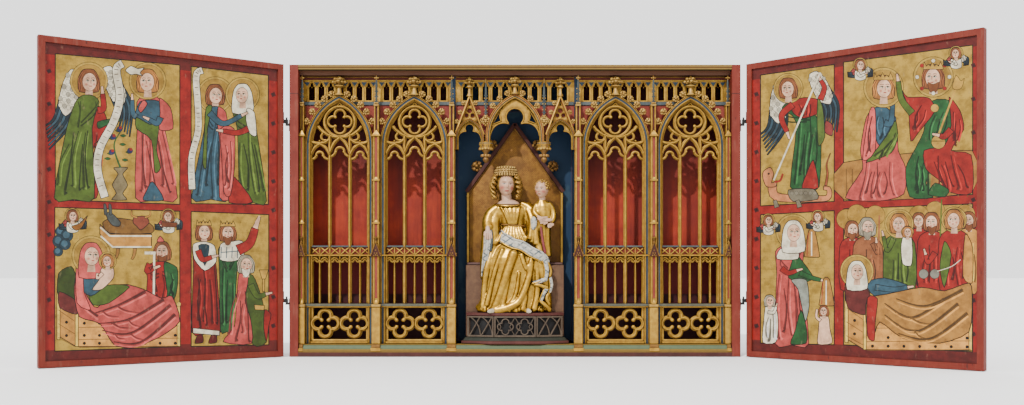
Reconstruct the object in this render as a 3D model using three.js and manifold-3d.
// Gothic winged altarpiece: a wooden shrine with relic compartments behind carved and gilded tracery,
// a throned mother and child in the middle niche, and two painted wings on iron pintles.
// Millimetres. +X is the viewer's right, +Y the back, +Z up; the origin is the centre of the case's underside.

import * as THREE from "three";
import { mergeVertices } from "three/addons/utils/BufferGeometryUtils.js";
import Module from "manifold-3d";

const wasm = await Module();
wasm.setup();

// The case
const CASE_WIDTH = 2400;
const CASE_DEPTH = 300;
const SIDE_BOARD = 45;
const BACK_BOARD = 20;
const TOP_BOARD = 24;
const BOTTOM_BOARD = 30;
const PARTITION = 20;
const SHELF = 14;
const FIT = 0.3; // the joint line between two neighbouring pieces of wood or iron

// The carved front, in layers from the front backwards
const SILL_HEIGHT = 66; // top of the chamfered sill that the tracery stands on
const CORNICE_DROP = 46; // how far the hollow cornice reaches down from the top
const PIER_SET_BACK = 20; // from the case's front to the front of the piers
const PIER_DEPTH = 70;
const ARCH_DEPTH = 40;
const TRACERY_DEPTH = 24;
const SPANDREL_BOARD = 8;

// Widths across the front
const NICHE_CLEAR = 596;
const JAMB = 23;
const PIER_WIDTH = 36;
const EDGE_PIER_WIDTH = 26;
const ARCH_RING = 28; // breadth of the moulded ring round each window
const MULLION = 16;

// Heights up the front
const PANEL_HEIGHT = 216; // the quatrefoil panels, up to the top of the sill over them
const ARCADE_HEIGHT = 264; // from that sill to the top of the transom
const TRANSOM_BAR = 14;
const LATTICE_HEIGHT = 50; // from the transom to the foot of the lancets
const LANCET_HEIGHT = 535; // from the lancets' foot to the springing of the arches
const ARCH_RISE = 275;
const CAP_LIFT = 53; // from the springing to the cap where the piers' slender upper parts begin
const CROWN_LAP = 53; // how far the arches reach up over the gallery's rail
const RAIL_HEIGHT = 19;
const GALLERY_HEIGHT = 137; // from the rail to the cornice
const ARCH_DROP = 18; // how far an arch's feet reach down below its springing
const SHAFT_RINGS = [166, 398]; // heights of the piers' shaft rings above the transom

// The niche's canopy
const CANOPY_LIFT = 21; // how far its arches spring above the windows' arches
const CANOPY_RISE = 260;
const CANOPY_HALF = 157;
const PENDANT_WIDTH = 72;

// The throne, its console and the figure
const CONSOLE_HEIGHT = 166; // from the niche floor to the slab that the figure stands on
const CONSOLE_WIDTH = 578;
const CONSOLE_REACH = 126; // how far the console stands out in front of the bench
const SLAB = 16;
const BENCH_WIDTH = 534;
const BENCH_SET_BACK = 40; // behind the back of the carved front
const BENCH_DEPTH = 130; // with the throne's back
const BENCH_HEIGHT = 424;
const SEAT = 14;
const THRONE_BACK = 20;
const THRONE_EAVES = 840; // above the niche floor
const THRONE_PITCH = 1.36; // rise of the gable for each unit across
const FIGURE_HEIGHT = 796;

// The wings and their pintles
const WING_WIDTH = 1190;
const WING_FRAME = 30;
const WING_FRAME_DEPTH = 42;
const WING_PANEL = 20;
const WING_REBATE = 10; // the panel's face lies this far behind the frame's
const FLOOR_CLEARANCE = 3;
const HINGE_GAP = 30;
const CLOSED_GAP = 4; // between the case and a closed wing
const LEFT_WING_ANGLE = 34;
const RIGHT_WING_ANGLE = 42;
const HINGE_FROM_FOOT = 290;
const HINGE_FROM_TOP = 313;
const PIN_RADIUS = 5;
const EYE_RADIUS = 9;
const EYE_CLEARANCE = 1;

// Places that follow from the sizes
const FRONT = -CASE_DEPTH / 2;
const BACK_INNER = CASE_DEPTH / 2 - BACK_BOARD;
const INNER_HALF = CASE_WIDTH / 2 - SIDE_BOARD;
const PIER_FRONT = FRONT + PIER_SET_BACK;
const FACADE_BACK = PIER_FRONT + PIER_DEPTH;
const ARCH_FRONT = FACADE_BACK - ARCH_DEPTH;
const TRACERY_FRONT = FACADE_BACK - TRACERY_DEPTH;
const LOWER_SILL = SILL_HEIGHT + PANEL_HEIGHT;
const TRANSOM = LOWER_SILL + ARCADE_HEIGHT;
const LANCET_FOOT = TRANSOM + LATTICE_HEIGHT;
const SPRINGING = LANCET_FOOT + LANCET_HEIGHT;
const ARCH_FOOT = SPRINGING - ARCH_DROP;
const PIER_CAP = SPRINGING + CAP_LIFT;
const GALLERY_RAIL = SPRINGING + ARCH_RISE - CROWN_LAP;
const CORNICE_Z = GALLERY_RAIL + RAIL_HEIGHT + GALLERY_HEIGHT;
const CASE_HEIGHT = CORNICE_Z + CORNICE_DROP;
const CANOPY_SPRINGING = SPRINGING + CANOPY_LIFT;
const HINGE_HEIGHTS = { lower: HINGE_FROM_FOOT, upper: CASE_HEIGHT - HINGE_FROM_TOP };
const NICHE_PIER_X = NICHE_CLEAR / 2 + JAMB + FIT + PIER_WIDTH / 2;
const BAY_START = NICHE_PIER_X + PIER_WIDTH / 2;
const BAY_END = INNER_HALF - FIT - EDGE_PIER_WIDTH;
const EDGE_PIER_X = INNER_HALF - FIT - EDGE_PIER_WIDTH / 2;
const MIDDLE_PIER_X = (BAY_START + BAY_END) / 2;
const ARCH_HALF = (BAY_END - BAY_START - PIER_WIDTH) / 4 - FIT;
const BAY_X = [BAY_START + FIT + ARCH_HALF, BAY_END - FIT - ARCH_HALF];
const BAY_CENTRES = [-BAY_X[1], -BAY_X[0], BAY_X[0], BAY_X[1]];
const LIGHT_HALF = ARCH_HALF - ARCH_RING;
const LANCET = (2 * LIGHT_HALF - 2 * MULLION) / 3;
const PARTITION_X = NICHE_CLEAR / 2 + JAMB;
const COMPARTMENT_X = [PARTITION_X + PARTITION + FIT, INNER_HALF - FIT];

const SMALL_ARC_STEP = THREE.MathUtils.degToRad(68);
const WIDE_ARC_STEP = THREE.MathUtils.degToRad(23);
const WIDE_RADIUS = 100;

const paint = (color, roughness, metalness = 0) =>
  new THREE.MeshStandardMaterial({ color, roughness, metalness });
const MATERIALS = {
  redWood: paint(0xa8463a, 0.7),
  boardWood: paint(0x6e3a2a, 0.8),
  redInside: paint(0xb03a22, 0.75),
  blueInside: paint(0x143048, 0.75),
  gold: paint(0xb8923f, 0.45, 0.6),
  figureGold: paint(0xd0a542, 0.35, 0.8),
  bareWood: paint(0x5c5044, 0.8),
  wingRed: paint(0xa03a30, 0.6),
  wingPicture: paint(0xa8813c, 0.6),
  iron: paint(0x2a2624, 0.6, 0.7),
};

// A closed geometry as a solid that can be joined and cut.
function solidOf(geometry) {
  const bare = geometry.index ? geometry.toNonIndexed() : geometry.clone();
  bare.deleteAttribute("normal");
  bare.deleteAttribute("uv");
  const merged = mergeVertices(bare, 1e-4);
  return new wasm.Manifold(
    new wasm.Mesh({
      numProp: 3,
      vertProperties: merged.attributes.position.array,
      triVerts: new Uint32Array(merged.index.array),
    }),
  );
}

function geometryOf(solid) {
  const mesh = solid.getMesh();
  return new THREE.BufferGeometry()
    .setAttribute("position", new THREE.BufferAttribute(new Float32Array(mesh.vertProperties), 3))
    .setIndex(new THREE.BufferAttribute(new Uint32Array(mesh.triVerts), 1));
}

const joined = (geometries) => geometryOf(geometries.map(solidOf).reduce((a, b) => a.add(b)));

function box(x0, x1, y0, y1, z0, z1) {
  return new THREE.BoxGeometry(x1 - x0, y1 - y0, z1 - z0).translate(
    (x0 + x1) / 2,
    (y0 + y1) / 2,
    (z0 + z1) / 2,
  );
}

// Corners [x, z, bulge] to points: a bulge is the rise of the arc to the next corner over half its chord,
// and it is positive to the left of the way round.
function outline(corners) {
  const points = [];
  corners.forEach(([x, z, bulge = 0], i) => {
    const start = new THREE.Vector2(x, z);
    const end = new THREE.Vector2(...corners[(i + 1) % corners.length].slice(0, 2));
    points.push(start);
    if (!bulge) return;
    const chord = end.clone().sub(start);
    const rise = (bulge * chord.length()) / 2;
    const radius = (chord.lengthSq() / 4 + rise * rise) / (2 * rise);
    const across = new THREE.Vector2(-chord.y, chord.x).normalize();
    const centre = start.clone().add(end).divideScalar(2).addScaledVector(across, rise - radius);
    const turn = 4 * Math.atan(bulge);
    const step = Math.abs(radius) > WIDE_RADIUS ? WIDE_ARC_STEP : SMALL_ARC_STEP;
    const count = Math.max(2, Math.ceil(Math.abs(turn) / step));
    for (let k = 1; k < count; k++) {
      points.push(start.clone().rotateAround(centre, (-turn * k) / count));
    }
  });
  return points;
}

// The same points, in clockwise order or against it.
function turned(points, clockwise) {
  return THREE.ShapeUtils.isClockWise(points) === clockwise ? points : [...points].reverse();
}

// A flat board standing in the XZ plane, cut to an outline with openings, its front at yFront.
function plate(corners, openings, yFront, thickness) {
  const slab = (points, front, depth) =>
    solidOf(
      new THREE.ExtrudeGeometry(new THREE.Shape(turned(outline(points), false)), { depth, bevelEnabled: false })
        .rotateX(Math.PI / 2)
        .translate(0, front + depth, 0),
    );
  const board = slab(corners, yFront, thickness);
  return geometryOf(
    openings.reduce((wood, opening) => wood.subtract(slab(opening, yFront - 1, thickness + 2)), board),
  );
}

// A board running along X with the given profile of [y, z] corners.
function runningBoard(profile, x0, x1) {
  const shape = new THREE.Shape(profile.map(([y, z]) => new THREE.Vector2(y, z)));
  return new THREE.ExtrudeGeometry(shape, { depth: x1 - x0, bevelEnabled: false })
    .rotateZ(Math.PI / 2)
    .rotateY(Math.PI / 2)
    .translate(x0, 0, 0);
}

// A closed skin over rings of equal count, given from the bottom up.
function loft(rings) {
  const count = rings[0].length;
  const positions = rings.flat().flatMap((p) => [p.x, p.y, p.z]);
  const index = [];
  for (let r = 0; r + 1 < rings.length; r++) {
    for (let k = 0; k < count; k++) {
      const a = r * count + k;
      const b = r * count + ((k + 1) % count);
      index.push(a, b, b + count, a, b + count, a + count);
    }
  }
  [[rings[0], 0, 1], [rings[rings.length - 1], (rings.length - 1) * count, 0]].forEach(([ring, base, flip]) => {
    const centre = ring.reduce((sum, p) => sum.add(p), new THREE.Vector3()).divideScalar(count);
    const middle = positions.length / 3;
    positions.push(centre.x, centre.y, centre.z);
    for (let k = 0; k < count; k++) {
      const next = base + ((k + 1) % count);
      index.push(...(flip ? [middle, next, base + k] : [middle, base + k, next]));
    }
  });
  return new THREE.BufferGeometry()
    .setAttribute("position", new THREE.BufferAttribute(new Float32Array(positions), 3))
    .setIndex(index);
}

const shifted = (corners, dx, dz) => corners.map(([x, z, bulge = 0]) => [x + dx, z + dz, bulge]);
const mirrored = (corners) =>
  corners
    .map(([, , bulge = 0], i) => [-corners[(i + 1) % corners.length][0], corners[(i + 1) % corners.length][1], bulge])
    .reverse();
const rectangle = (x0, x1, z0, z1) => [[x0, z0], [x0, z1], [x1, z1], [x1, z0]];

// The bulge of one side of a pointed arch of this half span and rise, whose side leaves the jamb upright.
function archBulge(half, rise) {
  const radius = (rise * rise + half * half) / (2 * half);
  const chord = Math.hypot(half, rise);
  return Math.tan(Math.asin(chord / (2 * radius)) / 2);
}

function pointedArch(half, foot, springing, rise) {
  const bulge = archBulge(half, rise);
  return [[-half, foot], [-half, springing, bulge], [0, springing + rise, bulge], [half, springing], [half, foot]];
}

// The rise of a ring's inner edge that shares its centres with an outer arch.
function innerRise(half, rise, breadth) {
  const offset = (rise * rise + half * half) / (2 * half) - half;
  const radius = half - breadth + offset;
  return Math.sqrt(radius * radius - offset * offset);
}

// A light with a cusped head: straight sides, two side foils and a pointed top foil.
function cuspedLight(half, foot, shoulder, rise) {
  const cusp = [half * 0.5, shoulder + rise * 0.34];
  return [
    [-half, foot],
    [-half, shoulder, 0.5],
    [-cusp[0], cusp[1], 0.5],
    [0, shoulder + rise, 0.5],
    [cusp[0], cusp[1], 0.5],
    [half, shoulder],
    [half, foot],
  ];
}

function quatrefoil(reach, cusp) {
  const bulge = (reach - cusp) / cusp;
  return [[-cusp, cusp, bulge], [cusp, cusp, bulge], [cusp, -cusp, bulge], [-cusp, -cusp, bulge]];
}

function trefoil(reach, cusp) {
  const corners = [0, 1, 2].map((k) => {
    const turn = THREE.MathUtils.degToRad(150 - 120 * k);
    return [cusp * Math.cos(turn), cusp * Math.sin(turn), (reach - cusp / 2) / (cusp * Math.sin(Math.PI / 3))];
  });
  return corners;
}

// A small leaf that curls out of a gable's edge at (x, z), leaning along the angle.
function crocket(x, y, z, angle, size) {
  return new THREE.OctahedronGeometry(size * 0.62, 0)
    .scale(1.35, 0.62, 0.6)
    .translate(-size * 0.12, 0, 0)
    .rotateY(-angle)
    .translate(x, y, z);
}

// A finial of stem, ring and a spread flower of leaves, standing on (x, z) and reaching to the top given.
function finial(x, y, z, top) {
  const height = top - z;
  const profile = [[0.17, 0], [0.1, 0.46], [0.22, 0.51], [0.1, 0.58], [0.07, 0.8], [0.37, 0.9], [0.06, 1]];
  return [
    loft(
      profile.map(([reach, share]) =>
        [[-1, 0], [0, -0.7], [1, 0], [0, 0.7]].map(
          ([dx, dy]) => new THREE.Vector3(x + dx * reach * height, y + dy * reach * height, z + share * height),
        ),
      ),
    ),
  ];
}

// Crockets up both sides of a pointed arch of this half span, between two angles of its curve.
function archCrockets(half, springing, rise, count, size) {
  const offset = (rise * rise + half * half) / (2 * half) - half;
  const radius = half + offset;
  const top = Math.atan2(rise, offset);
  const leaves = [];
  for (let k = 0; k < count; k++) {
    const angle = top * (0.34 + (0.5 * k) / (count - 1));
    const x = radius * Math.cos(angle) - offset;
    const z = springing + radius * Math.sin(angle);
    leaves.push(crocket(x, ARCH_FRONT + ARCH_DEPTH / 3, z, angle, size));
    leaves.push(crocket(-x, ARCH_FRONT + ARCH_DEPTH / 3, z, Math.PI - angle, size));
  }
  return leaves;
}

const root = new THREE.Group();

function piece(name, geometry, material, parent = root) {
  const mesh = new THREE.Mesh(geometry, material);
  mesh.name = name;
  parent.add(mesh);
  return mesh;
}

function buildCase() {
  const half = CASE_WIDTH / 2;
  const inner = INNER_HALF - FIT;
  piece("left_side_board", box(-half, -INNER_HALF, FRONT, -FRONT, 0, CASE_HEIGHT), MATERIALS.redWood);
  piece("right_side_board", box(INNER_HALF, half, FRONT, -FRONT, 0, CASE_HEIGHT), MATERIALS.redWood);
  piece("back_board", box(-inner, inner, BACK_INNER + FIT, -FRONT, 0, CASE_HEIGHT), MATERIALS.boardWood);

  const sillEdge = 24;
  const sillFillet = 41;
  const nosing = 3;
  const sill = [
    [FRONT, 0],
    [FRONT, sillEdge],
    [FRONT + nosing, sillEdge + nosing],
    [FRONT + nosing, sillFillet],
    [PIER_FRONT + nosing, SILL_HEIGHT],
    [FACADE_BACK, SILL_HEIGHT],
    [FACADE_BACK, BOTTOM_BOARD],
    [BACK_INNER, BOTTOM_BOARD],
    [BACK_INNER, 0],
  ];
  piece("bottom_board", runningBoard(sill, -inner, inner), MATERIALS.boardWood);

  const hollow = 5;
  const cornice = [
    [FRONT, CASE_HEIGHT],
    [FRONT, CASE_HEIGHT - 12],
    [FRONT + nosing, CASE_HEIGHT - 15],
    [FRONT + nosing, CASE_HEIGHT - TOP_BOARD],
  ];
  for (let k = 1; k < hollow; k++) {
    const turn = (Math.PI / 2) * (k / hollow);
    cornice.push([
      FRONT + nosing + (PIER_FRONT + 26 - FRONT - nosing) * Math.sin(turn),
      CASE_HEIGHT - TOP_BOARD - (CORNICE_DROP - TOP_BOARD) * (1 - Math.cos(turn)),
    ]);
  }
  cornice.push(
    [PIER_FRONT + 26, CORNICE_Z],
    [FACADE_BACK, CORNICE_Z],
    [FACADE_BACK, CASE_HEIGHT - TOP_BOARD],
    [BACK_INNER, CASE_HEIGHT - TOP_BOARD],
    [BACK_INNER, CASE_HEIGHT],
  );
  piece("top_board", runningBoard(cornice, -inner, inner), MATERIALS.gold);

  const inside = [FACADE_BACK + FIT, BACK_INNER - FIT];
  const topInside = CASE_HEIGHT - TOP_BOARD - FIT;
  [["left", -1], ["right", 1]].forEach(([side, sign]) => {
    const wall = [sign * PARTITION_X, sign * (PARTITION_X + PARTITION)].sort((a, b) => a - b);
    piece(side + "_partition", box(...wall, ...inside, BOTTOM_BOARD + FIT, topInside), MATERIALS.blueInside);
    const span = COMPARTMENT_X.map((x) => sign * x).sort((a, b) => a - b);
    const shelf = (name, z0, y0) =>
      piece(side + name, box(...span, y0, inside[1], z0, z0 + SHELF), MATERIALS.redInside);
    shelf("_lower_shelf", LOWER_SILL - SHELF, inside[0]);
    shelf("_middle_shelf", TRANSOM - SHELF, inside[0]);
    shelf("_upper_shelf", GALLERY_RAIL, inside[0] + SPANDREL_BOARD + FIT);
  });
  const niche = [-PARTITION_X + FIT, PARTITION_X - FIT];
  piece("niche_floor", box(...niche, ...inside, BOTTOM_BOARD + FIT, SILL_HEIGHT), MATERIALS.bareWood);
  piece(
    "niche_ceiling",
    box(...niche, inside[0] + SPANDREL_BOARD + FIT, inside[1], GALLERY_RAIL, GALLERY_RAIL + SHELF),
    MATERIALS.blueInside,
  );
}

// The moulded arch of one bay with its crockets and finial, standing on the piers' jambs.
function windowArch() {
  const ring = plate(
    pointedArch(ARCH_HALF, ARCH_FOOT, SPRINGING, ARCH_RISE),
    [pointedArch(LIGHT_HALF, ARCH_FOOT - 1, SPRINGING, innerRise(ARCH_HALF, ARCH_RISE, ARCH_RING))],
    ARCH_FRONT,
    ARCH_DEPTH,
  );
  return joined([
    ring,
    ...archCrockets(ARCH_HALF, SPRINGING, ARCH_RISE, 4, 31),
    ...finial(0, ARCH_FRONT + 8, SPRINGING + ARCH_RISE - 8, CORNICE_Z - 2),
  ]);
}

// The pierced tracery set into one bay's ring: three lights, a quatrefoil over them and two mouchettes.
function windowTracery() {
  const light = LANCET / 2;
  const step = LANCET + MULLION;
  const side = cuspedLight(light, LANCET_FOOT, SPRINGING - 70, 76);
  const mouchette = [
    [-0.92 * LIGHT_HALF, SPRINGING + 23, 0.1],
    [-0.74 * LIGHT_HALF, SPRINGING + 112, -0.2],
    [-0.63 * LIGHT_HALF, SPRINGING + 76, 0.9],
    [-0.44 * LIGHT_HALF, SPRINGING + 42, -0.2],
  ];
  const rise = innerRise(ARCH_HALF, ARCH_RISE, ARCH_RING + FIT);
  return plate(
    pointedArch(LIGHT_HALF - FIT, LANCET_FOOT - 8, SPRINGING, rise),
    [
      shifted(side, -step, 0),
      cuspedLight(light, LANCET_FOOT, SPRINGING - 54, 94),
      shifted(side, step, 0),
      shifted(quatrefoil(72, 23), 0, SPRINGING + 132),
      mouchette,
      mirrored(mouchette),
    ],
    TRACERY_FRONT,
    TRACERY_DEPTH,
  );
}

// The barred arcade between sill and lancets, with its transom and the lattice band over it.
function arcadeBay() {
  const half = LIGHT_HALF - FIT;
  const foot = LOWER_SILL + FIT;
  const head = LANCET_FOOT - 8 - FIT;
  const openings = [];
  for (let k = 0; k < 6; k++) {
    const x = (Math.floor(k / 2) - 1) * (LANCET + MULLION) + (k % 2 ? 1 : -1) * (LANCET / 4 + 1);
    const w = LANCET / 4 - 4.5;
    openings.push([
      [x - w, foot + 8],
      [x - w, TRANSOM - TRANSOM_BAR - 30],
      [x, TRANSOM - TRANSOM_BAR - 8],
      [x + w, TRANSOM - TRANSOM_BAR - 30],
      [x + w, foot + 8],
    ]);
  }
  const grille = plate(rectangle(-half, half, foot, head), openings, TRACERY_FRONT, TRACERY_DEPTH);
  const transom = box(-half, half, TRACERY_FRONT - 10, TRACERY_FRONT + 6, TRANSOM - TRANSOM_BAR, TRANSOM);
  return joined([grille, transom]);
}

// The pierced panel of two quatrefoils between its foot rail and the sill, whose nosing runs past the jambs.
function quatrefoilPanel() {
  const half = LIGHT_HALF - FIT;
  const railTop = SILL_HEIGHT + FIT + ARCH_RING / 2;
  const foot = railTop - 1;
  const head = LOWER_SILL - SHELF + 1;
  const centre = (foot + head) / 2;
  const reach = half * 0.438;
  const pitch = half + 4;
  const edge = reach + 10;
  const openings = [-1, 1].map((s) => shifted(quatrefoil(reach, reach * 0.294), (s * pitch) / 2, centre));
  [-1, 1].forEach((up) => {
    openings.push([[-30, centre + up * edge], [30, centre + up * edge], [0, centre + up * 32]]);
  });
  return joined([
    plate(rectangle(-half, half, foot, head), openings, TRACERY_FRONT, TRACERY_DEPTH),
    box(-half, half, ARCH_FRONT, FACADE_BACK, SILL_HEIGHT + FIT, railTop),
    box(-half, half, ARCH_FRONT - 2, FACADE_BACK, LOWER_SILL - SHELF, LOWER_SILL),
    box(-ARCH_HALF, ARCH_HALF, ARCH_FRONT - 6, ARCH_FRONT - FIT, LOWER_SILL - SHELF, LOWER_SILL),
  ]);
}

// A buttress pier in one tapering stack: its lower block, shafts with sloped set-offs and shaft rings,
// a cap, and a slender pinnacle with a bud in front of the top arcade. The straight jambs of the windows
// beside it stand behind it, to the sides given as -1 and 1.
function pier(width, jambSides) {
  const w = width / 2;
  const slim = w * 0.72;
  const ring = (half, setBack, z, back = FACADE_BACK) => {
    const front = PIER_FRONT + setBack;
    return [[-half, front], [half, front], [half, back], [-half, back]].map(([x, y]) => new THREE.Vector3(x, y, z));
  };
  const shaftRing = (z) => [ring(slim, 10, z - 10), ring(w - 1, 5, z), ring(slim, 10, z + 10)];
  const pinnacleBack = (half) => PIER_FRONT + 30 + half;
  const pinnacle = (half, z) => ring(half, 30 - half, z, pinnacleBack(half));
  const jambs = jambSides.map((s) => {
    const span = [s * (slim - 1), s * (w + FIT + ARCH_RING)].sort((a, b) => a - b);
    return box(...span, ARCH_FRONT, FACADE_BACK, SILL_HEIGHT + FIT, ARCH_FOOT - FIT);
  });
  const stack = loft([
    ring(w, 0, SILL_HEIGHT + FIT),
    ring(w, 0, LOWER_SILL - 8),
    ring(w - 3, 7, LOWER_SILL + 2),
    ring(w - 3, 7, TRANSOM + 22),
    ring(slim, 10, TRANSOM + 64),
    ...SHAFT_RINGS.flatMap((height) => shaftRing(TRANSOM + height)),
    ring(slim, 10, PIER_CAP - 16),
    ring(w, 4, PIER_CAP - 8),
    ring(w, 4, PIER_CAP + 4),
    ring(w * 0.62, 16, PIER_CAP + 14),
    ring(w * 0.62, 16, GALLERY_RAIL + 14),
    pinnacle(w * 0.45, GALLERY_RAIL + 30),
    pinnacle(4, CORNICE_Z - 24),
    pinnacle(10, CORNICE_Z - 15),
    pinnacle(2, CORNICE_Z - 4),
  ]);
  return joined([stack, ...jambs]);
}

// The niche's front in one cut board: jambs, a wide middle arch, and a gabled arch at each side of it;
// pendants hang between the arches, and crockets and finials stand on them.
function canopy() {
  const half = NICHE_CLEAR / 2 + JAMB;
  const sideHalf = (half - CANOPY_HALF) / 2;
  const sideX = half - sideHalf;
  const foot = SILL_HEIGHT + FIT;
  const spring = CANOPY_SPRINGING;
  const eaves = spring + 46;
  const stilt = spring + 33;
  const gableTop = spring + 252;
  const arch = archBulge(CANOPY_HALF, CANOPY_RISE - 33);
  const jamb = sideHalf - JAMB;
  const inner = sideHalf - 24;
  const sideFoils = [
    [jamb, spring],
    [jamb - 1, spring + 8, -0.35],
    [25, spring + 50, -0.25],
    [28, spring + 80, -0.25],
    [0, spring + 104, -0.25],
    [-28, spring + 80, -0.25],
    [-25, spring + 50, -0.35],
    [-inner + 1, spring + 8],
    [-inner, spring],
  ];
  const middleFoils = [
    [124, spring],
    [122, spring + 44, -0.44],
    [38, spring + 92],
    [38, spring + 104, -0.22],
    [57, spring + 149, -0.4],
    [0, spring + 213, -0.4],
    [-57, spring + 149, -0.22],
    [-38, spring + 104],
    [-38, spring + 92, -0.44],
    [-122, spring + 44],
    [-124, spring],
  ];
  const otherSide = mirrored(shifted(sideFoils, sideX, 0));
  const front = plate(
    [
      [-half, foot],
      [-half, eaves],
      [-sideX, gableTop],
      [-CANOPY_HALF - 3, eaves],
      [-CANOPY_HALF, stilt, arch],
      [0, spring + CANOPY_RISE, arch],
      [CANOPY_HALF, stilt],
      [CANOPY_HALF + 3, eaves],
      [sideX, gableTop],
      [half, eaves],
      [half, foot],
      [half - JAMB, foot],
      ...shifted(sideFoils, sideX, 0),
      ...middleFoils,
      ...otherSide.slice(1),
      otherSide[0],
      [-half + JAMB, foot],
    ],
    [-1, 1].flatMap((s) => [
      shifted(trefoil(19, 8), s * sideX, spring + 170),
      [[s * 98, spring + 100], [s * 84, spring + 138], [s * 74, spring + 104]],
    ]),
    ARCH_FRONT,
    ARCH_DEPTH,
  );
  const trims = [-1, 1].flatMap((s) => {
    const lean = Math.PI / 2 - Math.atan2(gableTop - eaves, sideHalf);
    const leaves = [0.24, 0.44, 0.64].flatMap((t) =>
      [-1, 1].map((e) =>
        crocket(
          s * sideX + e * sideHalf * (1 - t),
          ARCH_FRONT + 12,
          eaves + (gableTop - eaves) * t,
          e > 0 ? lean : Math.PI - lean,
          22,
        ),
      ),
    );
    const x = s * CANOPY_HALF;
    const y = FACADE_BACK - 0.4 * PENDANT_WIDTH - 1;
    const cap = new THREE.CylinderGeometry(PENDANT_WIDTH / 2, PENDANT_WIDTH / 2.6, 42, 6)
      .rotateX(Math.PI / 2)
      .scale(1, 0.8, 1)
      .translate(x, y, spring - 20);
    const boss = new THREE.IcosahedronGeometry(27, 0).scale(1, 0.85, 1.3).translate(x, y, spring - 66);
    const pin = new THREE.CylinderGeometry(3, 9, 250, 4).rotateX(Math.PI / 2).translate(x, ARCH_FRONT + 4, spring + 190);
    return [...leaves, cap, boss, pin, ...finial(s * sideX, ARCH_FRONT + 8, gableTop - 10, CORNICE_Z - 2)];
  });
  return joined([
    front,
    ...trims,
    ...archCrockets(CANOPY_HALF, spring, CANOPY_RISE, 4, 26),
    ...finial(0, ARCH_FRONT + 8, spring + CANOPY_RISE - 8, CORNICE_Z - 2),
  ]);
}

// The board behind the arches and the small arcade above them: an arched way is cut for each
// window, and narrow pointed lights pierce the arcade.
function frontBoard(x0, x1, ways, arcades) {
  const foot = ARCH_FOOT;
  const openings = ways.map(([x, half, springing, rise]) =>
    shifted(pointedArch(half, foot - 1, Math.max(springing, foot), rise), x, 0),
  );
  const lightFoot = GALLERY_RAIL + RAIL_HEIGHT;
  const head = CORNICE_Z - 22;
  arcades.forEach(([left, right, lights]) => {
    const pitch = (right - left) / lights;
    const w = pitch / 2 - 8;
    for (let k = 0; k < lights; k++) {
      const x = left + (k + 0.5) * pitch;
      openings.push([[x - w, lightFoot], [x - w, head - 24], [x, head], [x + w, head - 24], [x + w, lightFoot]]);
    }
  });
  return plate(rectangle(x0, x1, foot, CORNICE_Z - FIT), openings, FACADE_BACK + FIT, SPANDREL_BOARD);
}

function buildFront() {
  const arch = windowArch();
  const tracery = windowTracery();
  const arcade = arcadeBay();
  const panel = quatrefoilPanel();
  BAY_CENTRES.forEach((x, i) => {
    piece("window_arch_" + (i + 1), arch, MATERIALS.gold).position.x = x;
    piece("window_tracery_" + (i + 1), tracery, MATERIALS.gold).position.x = x;
    piece("arcade_" + (i + 1), arcade, MATERIALS.gold).position.x = x;
    piece("quatrefoil_panel_" + (i + 1), panel, MATERIALS.gold).position.x = x;
  });
  const piers = [
    [-EDGE_PIER_X, EDGE_PIER_WIDTH, [1]],
    [-MIDDLE_PIER_X, PIER_WIDTH, [-1, 1]],
    [-NICHE_PIER_X, PIER_WIDTH, [-1]],
    [NICHE_PIER_X, PIER_WIDTH, [1]],
    [MIDDLE_PIER_X, PIER_WIDTH, [-1, 1]],
    [EDGE_PIER_X, EDGE_PIER_WIDTH, [-1]],
  ];
  piers.forEach(([x, width, jambSides], i) => {
    piece("pier_" + (i + 1), pier(width, jambSides), MATERIALS.gold).position.x = x;
  });
  piece("niche_canopy", canopy(), MATERIALS.gold);

  const wayRise = GALLERY_RAIL + RAIL_HEIGHT / 2 - SPRINGING;
  [["left", -1], ["right", 1]].forEach(([side, s]) => {
    const [x0, x1] = COMPARTMENT_X.map((x) => s * x).sort((a, b) => a - b);
    const bays = BAY_CENTRES.filter((x) => x * s > 0);
    piece(
      side + "_front_board",
      frontBoard(
        x0,
        x1,
        bays.map((x) => [x, LIGHT_HALF + 4, SPRINGING, wayRise]),
        bays.map((x) => [x - ARCH_HALF + 4, x + ARCH_HALF - 4, 7]),
      ),
      MATERIALS.redWood,
    );
  });
  const nicheX = PARTITION_X - FIT;
  const sideHalf = (PARTITION_X - CANOPY_HALF) / 2;
  const sideX = PARTITION_X - sideHalf;
  const nicheWays = [
    [-sideX, sideHalf - 10, CANOPY_SPRINGING, 120],
    [0, CANOPY_HALF - 12, CANOPY_SPRINGING + 33, CANOPY_RISE - 33 - 38],
    [sideX, sideHalf - 10, CANOPY_SPRINGING, 120],
  ];
  const middleHalf = NICHE_CLEAR / 2 - 6;
  const middleArcade = [[-nicheX + 2, -middleHalf, 1], [-middleHalf, middleHalf, 11], [middleHalf, nicheX - 2, 1]];
  piece("middle_front_board", frontBoard(-nicheX, nicheX, nicheWays, middleArcade), MATERIALS.redWood);
}

// The console's polygonal plan: a front facet and two facets that slant back to its full width.
function consolePlan(halfWidth, facet, front, back, z) {
  return [[-halfWidth, back], [-halfWidth, front + 62], [-facet, front], [facet, front], [halfWidth, front + 62], [halfWidth, back]]
    .map(([x, y]) => new THREE.Vector3(x, y, z));
}

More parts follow.
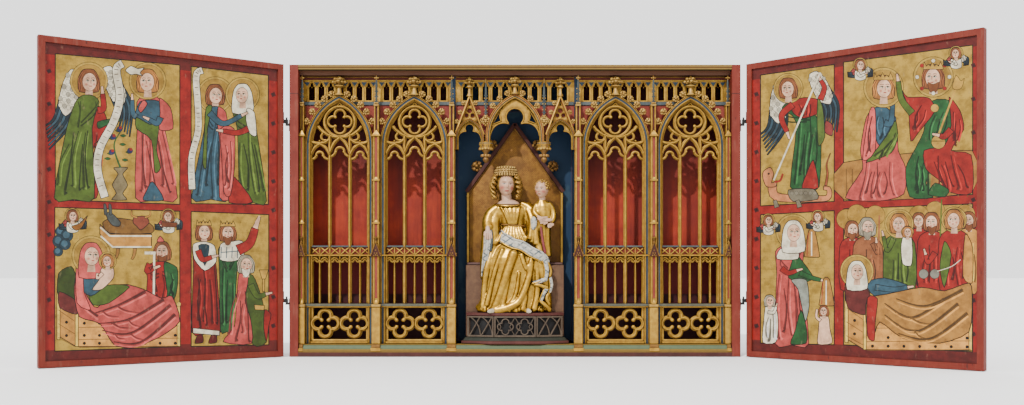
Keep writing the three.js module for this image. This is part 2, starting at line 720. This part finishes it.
function buildThrone() {
  const floor = SILL_HEIGHT + FIT;
  const benchFront = FACADE_BACK + BENCH_SET_BACK;
  const benchBack = benchFront + BENCH_DEPTH;
  const half = BENCH_WIDTH / 2;
  const front = benchFront - CONSOLE_REACH;
  const slabTop = floor + SLAB;
  const splay = 18;
  piece(
    "console_foot",
    loft([
      consolePlan(CONSOLE_WIDTH / 2, 133, front, benchBack, floor),
      consolePlan(CONSOLE_WIDTH / 2, 133, front, benchBack, slabTop),
      consolePlan(half, 122, front + 18, benchBack, slabTop + splay),
    ]),
    MATERIALS.redWood,
  );
  const bodyFoot = slabTop + splay + FIT;
  const bodyTop = floor + CONSOLE_HEIGHT - SLAB;
  const body = joined([
    loft([
      consolePlan(half - 12, 112, front + 34, benchFront - FIT, bodyFoot),
      consolePlan(half - 12, 112, front + 34, benchFront - FIT, bodyTop),
    ]),
    ...[-116, 116].map((x) => box(x - 6, x + 6, front + 26, front + 40, bodyFoot, bodyTop)),
    ...[-58, 58].map((x) =>
      plate(
        shifted(quatrefoil(46, 14), x, (bodyFoot + bodyTop) / 2),
        [shifted(quatrefoil(38, 11), x, (bodyFoot + bodyTop) / 2)],
        front + 29,
        10,
      ),
    ),
  ]);
  piece("console_tracery", body, MATERIALS.bareWood);
  piece(
    "console_slab",
    loft([
      consolePlan(half - 6, 116, front + 26, benchFront - FIT, bodyTop + FIT),
      consolePlan(half - 2, 118, front + 22, benchFront - FIT, bodyTop + FIT + SLAB),
    ]),
    MATERIALS.redWood,
  );
  const benchFoot = slabTop + splay + FIT;
  const benchTop = floor + BENCH_HEIGHT;
  const seatHalf = half - 36;
  piece(
    "throne_bench",
    joined([
      box(-half, half, benchFront, benchBack - THRONE_BACK - FIT, benchFoot, benchTop),
      box(-seatHalf, seatHalf, benchFront + 30, benchBack - THRONE_BACK - FIT - 4, benchTop - 1, benchTop + SEAT),
    ]),
    MATERIALS.gold,
  );
  const eaves = floor + THRONE_EAVES;
  const gable = eaves + THRONE_PITCH * half;
  const backFront = benchBack - THRONE_BACK;
  const panel = plate([[-half, benchFoot], [-half, eaves], [0, gable], [half, eaves], [half, benchFoot]], [], backFront, THRONE_BACK);
  const slope = Math.atan(THRONE_PITCH);
  const roofThick = 14;
  const roofs = [-1, 1].map((s) => {
    const cap = [
      [s * (half - 22), eaves - 18],
      [s * (half + 4), eaves - 6],
      [0, gable + 12],
      [0, gable - roofThick * 2],
    ];
    return plate(cap, [], backFront - 16, THRONE_BACK + 16);
  });
  const leaves = [];
  [0.2, 0.46, 0.72].forEach((t) => {
    [-1, 1].forEach((s) => {
      const x = s * half * (1 - t);
      const lean = Math.PI / 2 - slope;
      leaves.push(crocket(x, backFront - 4, eaves + (gable - eaves) * t, s > 0 ? lean : Math.PI - lean, 54));
    });
  });
  piece("throne_back", joined([panel, ...roofs, ...leaves]), MATERIALS.gold);
}

const bodyPoint = (x, y, z) => new THREE.Vector3(x, y, z);

// A skin over level rings of [z, cx, cy, front half width, front depth, back half width, back depth].
const bodyLoft = (stations, count) =>
  loft(
    stations.map(([z, cx, cy, frontWide, frontDeep, backWide = frontWide, backDeep = frontDeep]) =>
      Array.from({ length: count }, (_, k) => {
        const turn = (2 * Math.PI * k) / count;
        const front = k > count / 2;
        return bodyPoint(
          cx + (front ? frontWide : backWide) * Math.cos(turn),
          cy + (front ? frontDeep : backDeep) * Math.sin(turn),
          z,
        );
      }),
    ),
  );

// A limb: a chain of tapered rods with blunt joints between them.
function limb(points, sides = 5) {
  const parts = [];
  points.forEach(([x, y, z, r], i) => {
    if (i > 0) parts.push(new THREE.OctahedronGeometry(r * 1.12, 0).translate(x, y, z));
    if (i + 1 === points.length) return;
    const [x1, y1, z1, r1] = points[i + 1];
    const from = bodyPoint(x, y, z);
    const way = bodyPoint(x1, y1, z1).sub(from);
    const rod = new THREE.CylinderGeometry(r1, r, way.length(), sides);
    rod.applyQuaternion(new THREE.Quaternion().setFromUnitVectors(bodyPoint(0, 1, 0), way.clone().normalize()));
    parts.push(rod.translate(...from.addScaledVector(way, 0.5).toArray()));
  });
  return parts;
}

// How far a fold of cloth that runs along a polyline of [x, z] lifts the surface at (x, z).
function foldLift(x, z, fold) {
  let near = Infinity;
  fold.way.forEach(([x0, z0], i) => {
    if (i + 1 === fold.way.length) return;
    const [x1, z1] = fold.way[i + 1];
    const t = THREE.MathUtils.clamp(
      ((x - x0) * (x1 - x0) + (z - z0) * (z1 - z0)) / ((x1 - x0) ** 2 + (z1 - z0) ** 2),
      0,
      1,
    );
    near = Math.min(near, Math.hypot(x - x0 - t * (x1 - x0), z - z0 - t * (z1 - z0)));
  });
  return fold.lift * Math.exp(-((near / fold.breadth) ** 2));
}

// The seated mother with the child standing on her left knee, in millimetres of a figure 785 high.
function figure() {
  const folds = [
    { way: [[-96, 350], [-10, 330], [100, 300], [178, 262]], breadth: 20, lift: 17 },
    { way: [[178, 262], [136, 205], [184, 135], [142, 72], [176, 20]], breadth: 17, lift: 15 },
    { way: [[120, 250], [96, 120], [64, 10]], breadth: 15, lift: 12 },
    { way: [[80, 270], [40, 130], [-6, 10]], breadth: 15, lift: 13 },
    { way: [[-40, 320], [14, 262], [70, 310]], breadth: 14, lift: 11 },
    { way: [[-30, 250], [-34, 120], [-64, 12]], breadth: 14, lift: 11 },
    { way: [[-84, 300], [-78, 150], [-100, 10]], breadth: 16, lift: 14 },
    { way: [[-150, 330], [-160, 210], [-146, 60], [-176, 8]], breadth: 16, lift: 12 },
  ];
  const knees = [
    { x: -94, z: 322, breadth: 62, lift: 24 },
    { x: 108, z: 312, breadth: 62, lift: 24 },
    { x: -116, z: 0, breadth: 34, lift: 20 },
    { x: 76, z: 0, breadth: 30, lift: 18 },
  ];
  const spine = [
    { z: 0, cx: 8, cy: 20, rx: 188, ry: 62 },
    { z: 70, cx: 4, cy: 20, rx: 172, ry: 56 },
    { z: 260, cx: 8, cy: 22, rx: 160, ry: 58 },
    { z: 340, cx: 6, cy: 30, rx: 144, ry: 60 },
    { z: 378, cx: 2, cy: 44, rx: 112, ry: 48 },
  ];
  const rows = 12;
  const around = 25;
  const skirt = [];
  for (let row = 0; row <= rows; row++) {
    const z = (378 * row) / rows;
    const upper = spine.findIndex((s) => s.z >= z - 1e-6);
    const [a, b] = [spine[Math.max(0, upper - 1)], spine[upper]];
    const t = upper === 0 ? 0 : (z - a.z) / (b.z - a.z);
    const mix = (key) => THREE.MathUtils.lerp(a[key], b[key], t);
    const ring = [];
    for (let k = 0; k < around; k++) {
      const share = k / around;
      // Points crowd towards the carved front.
      const turn = 2 * Math.PI * share - 0.42 * Math.sin(2 * Math.PI * share + Math.PI / 2) + 0.42;
      const x = mix("cx") + mix("rx") * Math.cos(turn);
      const y = mix("cy") + mix("ry") * Math.sin(turn);
      const frontal = Math.max(0, -Math.sin(turn)) ** 0.5;
      let lift = 0;
      folds.forEach((fold) => (lift += foldLift(x, z, fold)));
      knees.forEach((knee) => (lift += knee.lift * Math.exp(-(((x - knee.x) ** 2 + (z - knee.z) ** 2) / knee.breadth ** 2))));
      ring.push(bodyPoint(x + 0.35 * lift * Math.cos(turn), y - lift * frontal, z));
    }
    skirt.push(ring);
  }
  const upper = bodyLoft(
    [
      [240, 0, 56, 124, 50, 150, 44],
      [345, 0, 54, 98, 48, 142, 40],
      [430, -8, 50, 74, 46, 134, 36],
      [520, -18, 46, 92, 52, 122, 36],
      [566, -22, 50, 98, 42, 106, 34],
      [596, -36, 48, 46, 32, 56, 30],
      [612, -44, 42, 27, 26, 42, 30],
      [632, -46, 32, 30, 42, 66, 56],
      [665, -46, 30, 48, 52, 80, 62],
      [702, -47, 32, 51, 50, 82, 64],
      [738, -48, 38, 56, 46, 68, 56],
      [748, -48, 40, 55, 48, 56, 50],
      [784, -48, 40, 62, 54, 62, 56],
    ],
    10,
  );
  const child = bodyLoft(
    [
      [276, 150, -4, 54, 38],
      [420, 146, -4, 44, 34],
      [560, 142, 0, 50, 30],
      [592, 144, 0, 36, 24],
      [606, 145, -2, 17, 17],
      [622, 144, -6, 30, 32],
      [655, 144, -8, 42, 44],
      [685, 144, -6, 34, 36],
      [702, 144, -4, 14, 14],
    ],
    8,
  );
  const parts = [
    loft(skirt),
    upper,
    child,
    ...limb([[-112, 44, 548, 36], [-132, 22, 462, 32], [-140, -34, 392, 20]]),
    ...limb([[70, 44, 548, 36], [104, 26, 470, 31], [152, -22, 486, 18]]),
    ...limb([[-138, -8, 410, 22], [-156, 2, 300, 24], [-166, 6, 190, 18]]),
    ...limb([[186, 2, 566, 17], [206, -12, 512, 14], [196, -34, 474, 12]]),
    ...limb([[108, -2, 566, 17], [90, -22, 518, 13]]),
  ];
  return parts.map(solidOf).reduce((a, b) => a.add(b));
}

// The figure on its slab, its underside cut level and its back cut to fit the bench.
function buildFigure() {
  const share = FIGURE_HEIGHT / 785;
  const foot = SILL_HEIGHT + FIT + CONSOLE_HEIGHT + 2 * FIT;
  const seat = SILL_HEIGHT + FIT + BENCH_HEIGHT + SEAT + FIT;
  const room = solidOf(box(-400, 400, FRONT + 4, BACK_INNER, foot, CASE_HEIGHT));
  const bench = solidOf(box(-400, 400, FACADE_BACK + BENCH_SET_BACK - FIT, BACK_INNER, 0, seat));
  const carved = figure().scale([share, share, share]).translate([0, FACADE_BACK, foot]);
  piece("mother_and_child", geometryOf(carved.intersect(room).subtract(bench)), MATERIALS.figureGold);
}

// One wing in its own turned group, drawn for the left side and mirrored by sign for the right.
function buildWing(side, sign, angle) {
  const axisX = sign * (CASE_WIDTH / 2 + HINGE_GAP / 2);
  const axisY = FRONT - CLOSED_GAP / 2;
  const group = new THREE.Group();
  group.position.set(axisX, axisY, 0);
  group.rotation.z = THREE.MathUtils.degToRad(-sign * angle);
  root.add(group);

  const near = HINGE_GAP / 2 + 1;
  const span = (a, b) => [sign * a, sign * b].sort((p, q) => p - q);
  const face = CLOSED_GAP / 2;
  const z0 = FLOOR_CLEARANCE;
  const z1 = CASE_HEIGHT;
  const outer = span(near, near + WING_WIDTH);
  const inner = span(near + WING_FRAME, near + WING_WIDTH - WING_FRAME);
  piece(
    side + "_wing_frame",
    plate(
      rectangle(...outer, z0, z1),
      [rectangle(...inner, z0 + WING_FRAME, z1 - WING_FRAME)],
      face,
      WING_FRAME_DEPTH,
    ),
    MATERIALS.wingRed,
    group,
  );
  piece(
    side + "_wing_panel",
    box(
      inner[0] + FIT,
      inner[1] - FIT,
      face + WING_REBATE,
      face + WING_REBATE + WING_PANEL,
      z0 + WING_FRAME + FIT,
      z1 - WING_FRAME - FIT,
    ),
    MATERIALS.wingPicture,
    group,
  );

  Object.entries(HINGE_HEIGHTS).forEach(([level, z]) => {
    const eyeHeight = 20;
    const plateHeight = 60;
    const strap = 3;
    // The eye on the wing: a ring round the pin, an arm, and a nailed plate on the frame's edge.
    const ring = new THREE.Shape().absarc(0, 0, EYE_RADIUS, 0, 2 * Math.PI);
    ring.holes.push(new THREE.Path().absarc(0, 0, PIN_RADIUS + EYE_CLEARANCE, 0, 2 * Math.PI));
    const eye = new THREE.ExtrudeGeometry(ring, { depth: eyeHeight, bevelEnabled: false, curveSegments: 3 });
    const leaf = span(near - strap - FIT, near - FIT);
    const arm = span(PIN_RADIUS + EYE_CLEARANCE + 1, near - strap);
    piece(
      side + "_" + level + "_eye",
      joined([
        eye.translate(0, 0, z),
        box(...arm, -1, 8, z, z + eyeHeight),
        box(...leaf, face + 1, face + 34, z, z + plateHeight),
      ]),
      MATERIALS.iron,
      group,
    );
    // The pintle on the case: an upright pin on an arm, with a plate nailed to the case's side.
    const pin = new THREE.CylinderGeometry(PIN_RADIUS, PIN_RADIUS, eyeHeight + 22, 8)
      .rotateX(Math.PI / 2)
      .translate(axisX, axisY, z + 1 + eyeHeight / 2);
    const caseFace = CASE_WIDTH / 2 + FIT;
    const shoulder = [sign * caseFace, axisX + sign * PIN_RADIUS].sort((p, q) => p - q);
    const nailed = [sign * caseFace, sign * (caseFace + strap)].sort((p, q) => p - q);
    piece(
      side + "_" + level + "_pintle",
      joined([
        pin,
        box(...shoulder, axisY - PIN_RADIUS, FRONT + 12, z - 12, z - FIT),
        box(...nailed, FRONT + 2, FRONT + 46, z - 40, z + 20),
      ]),
      MATERIALS.iron,
    );
  });
}

buildCase();
buildFront();
buildThrone();
buildFigure();
buildWing("left", -1, LEFT_WING_ANGLE);
buildWing("right", 1, RIGHT_WING_ANGLE);

export default root;
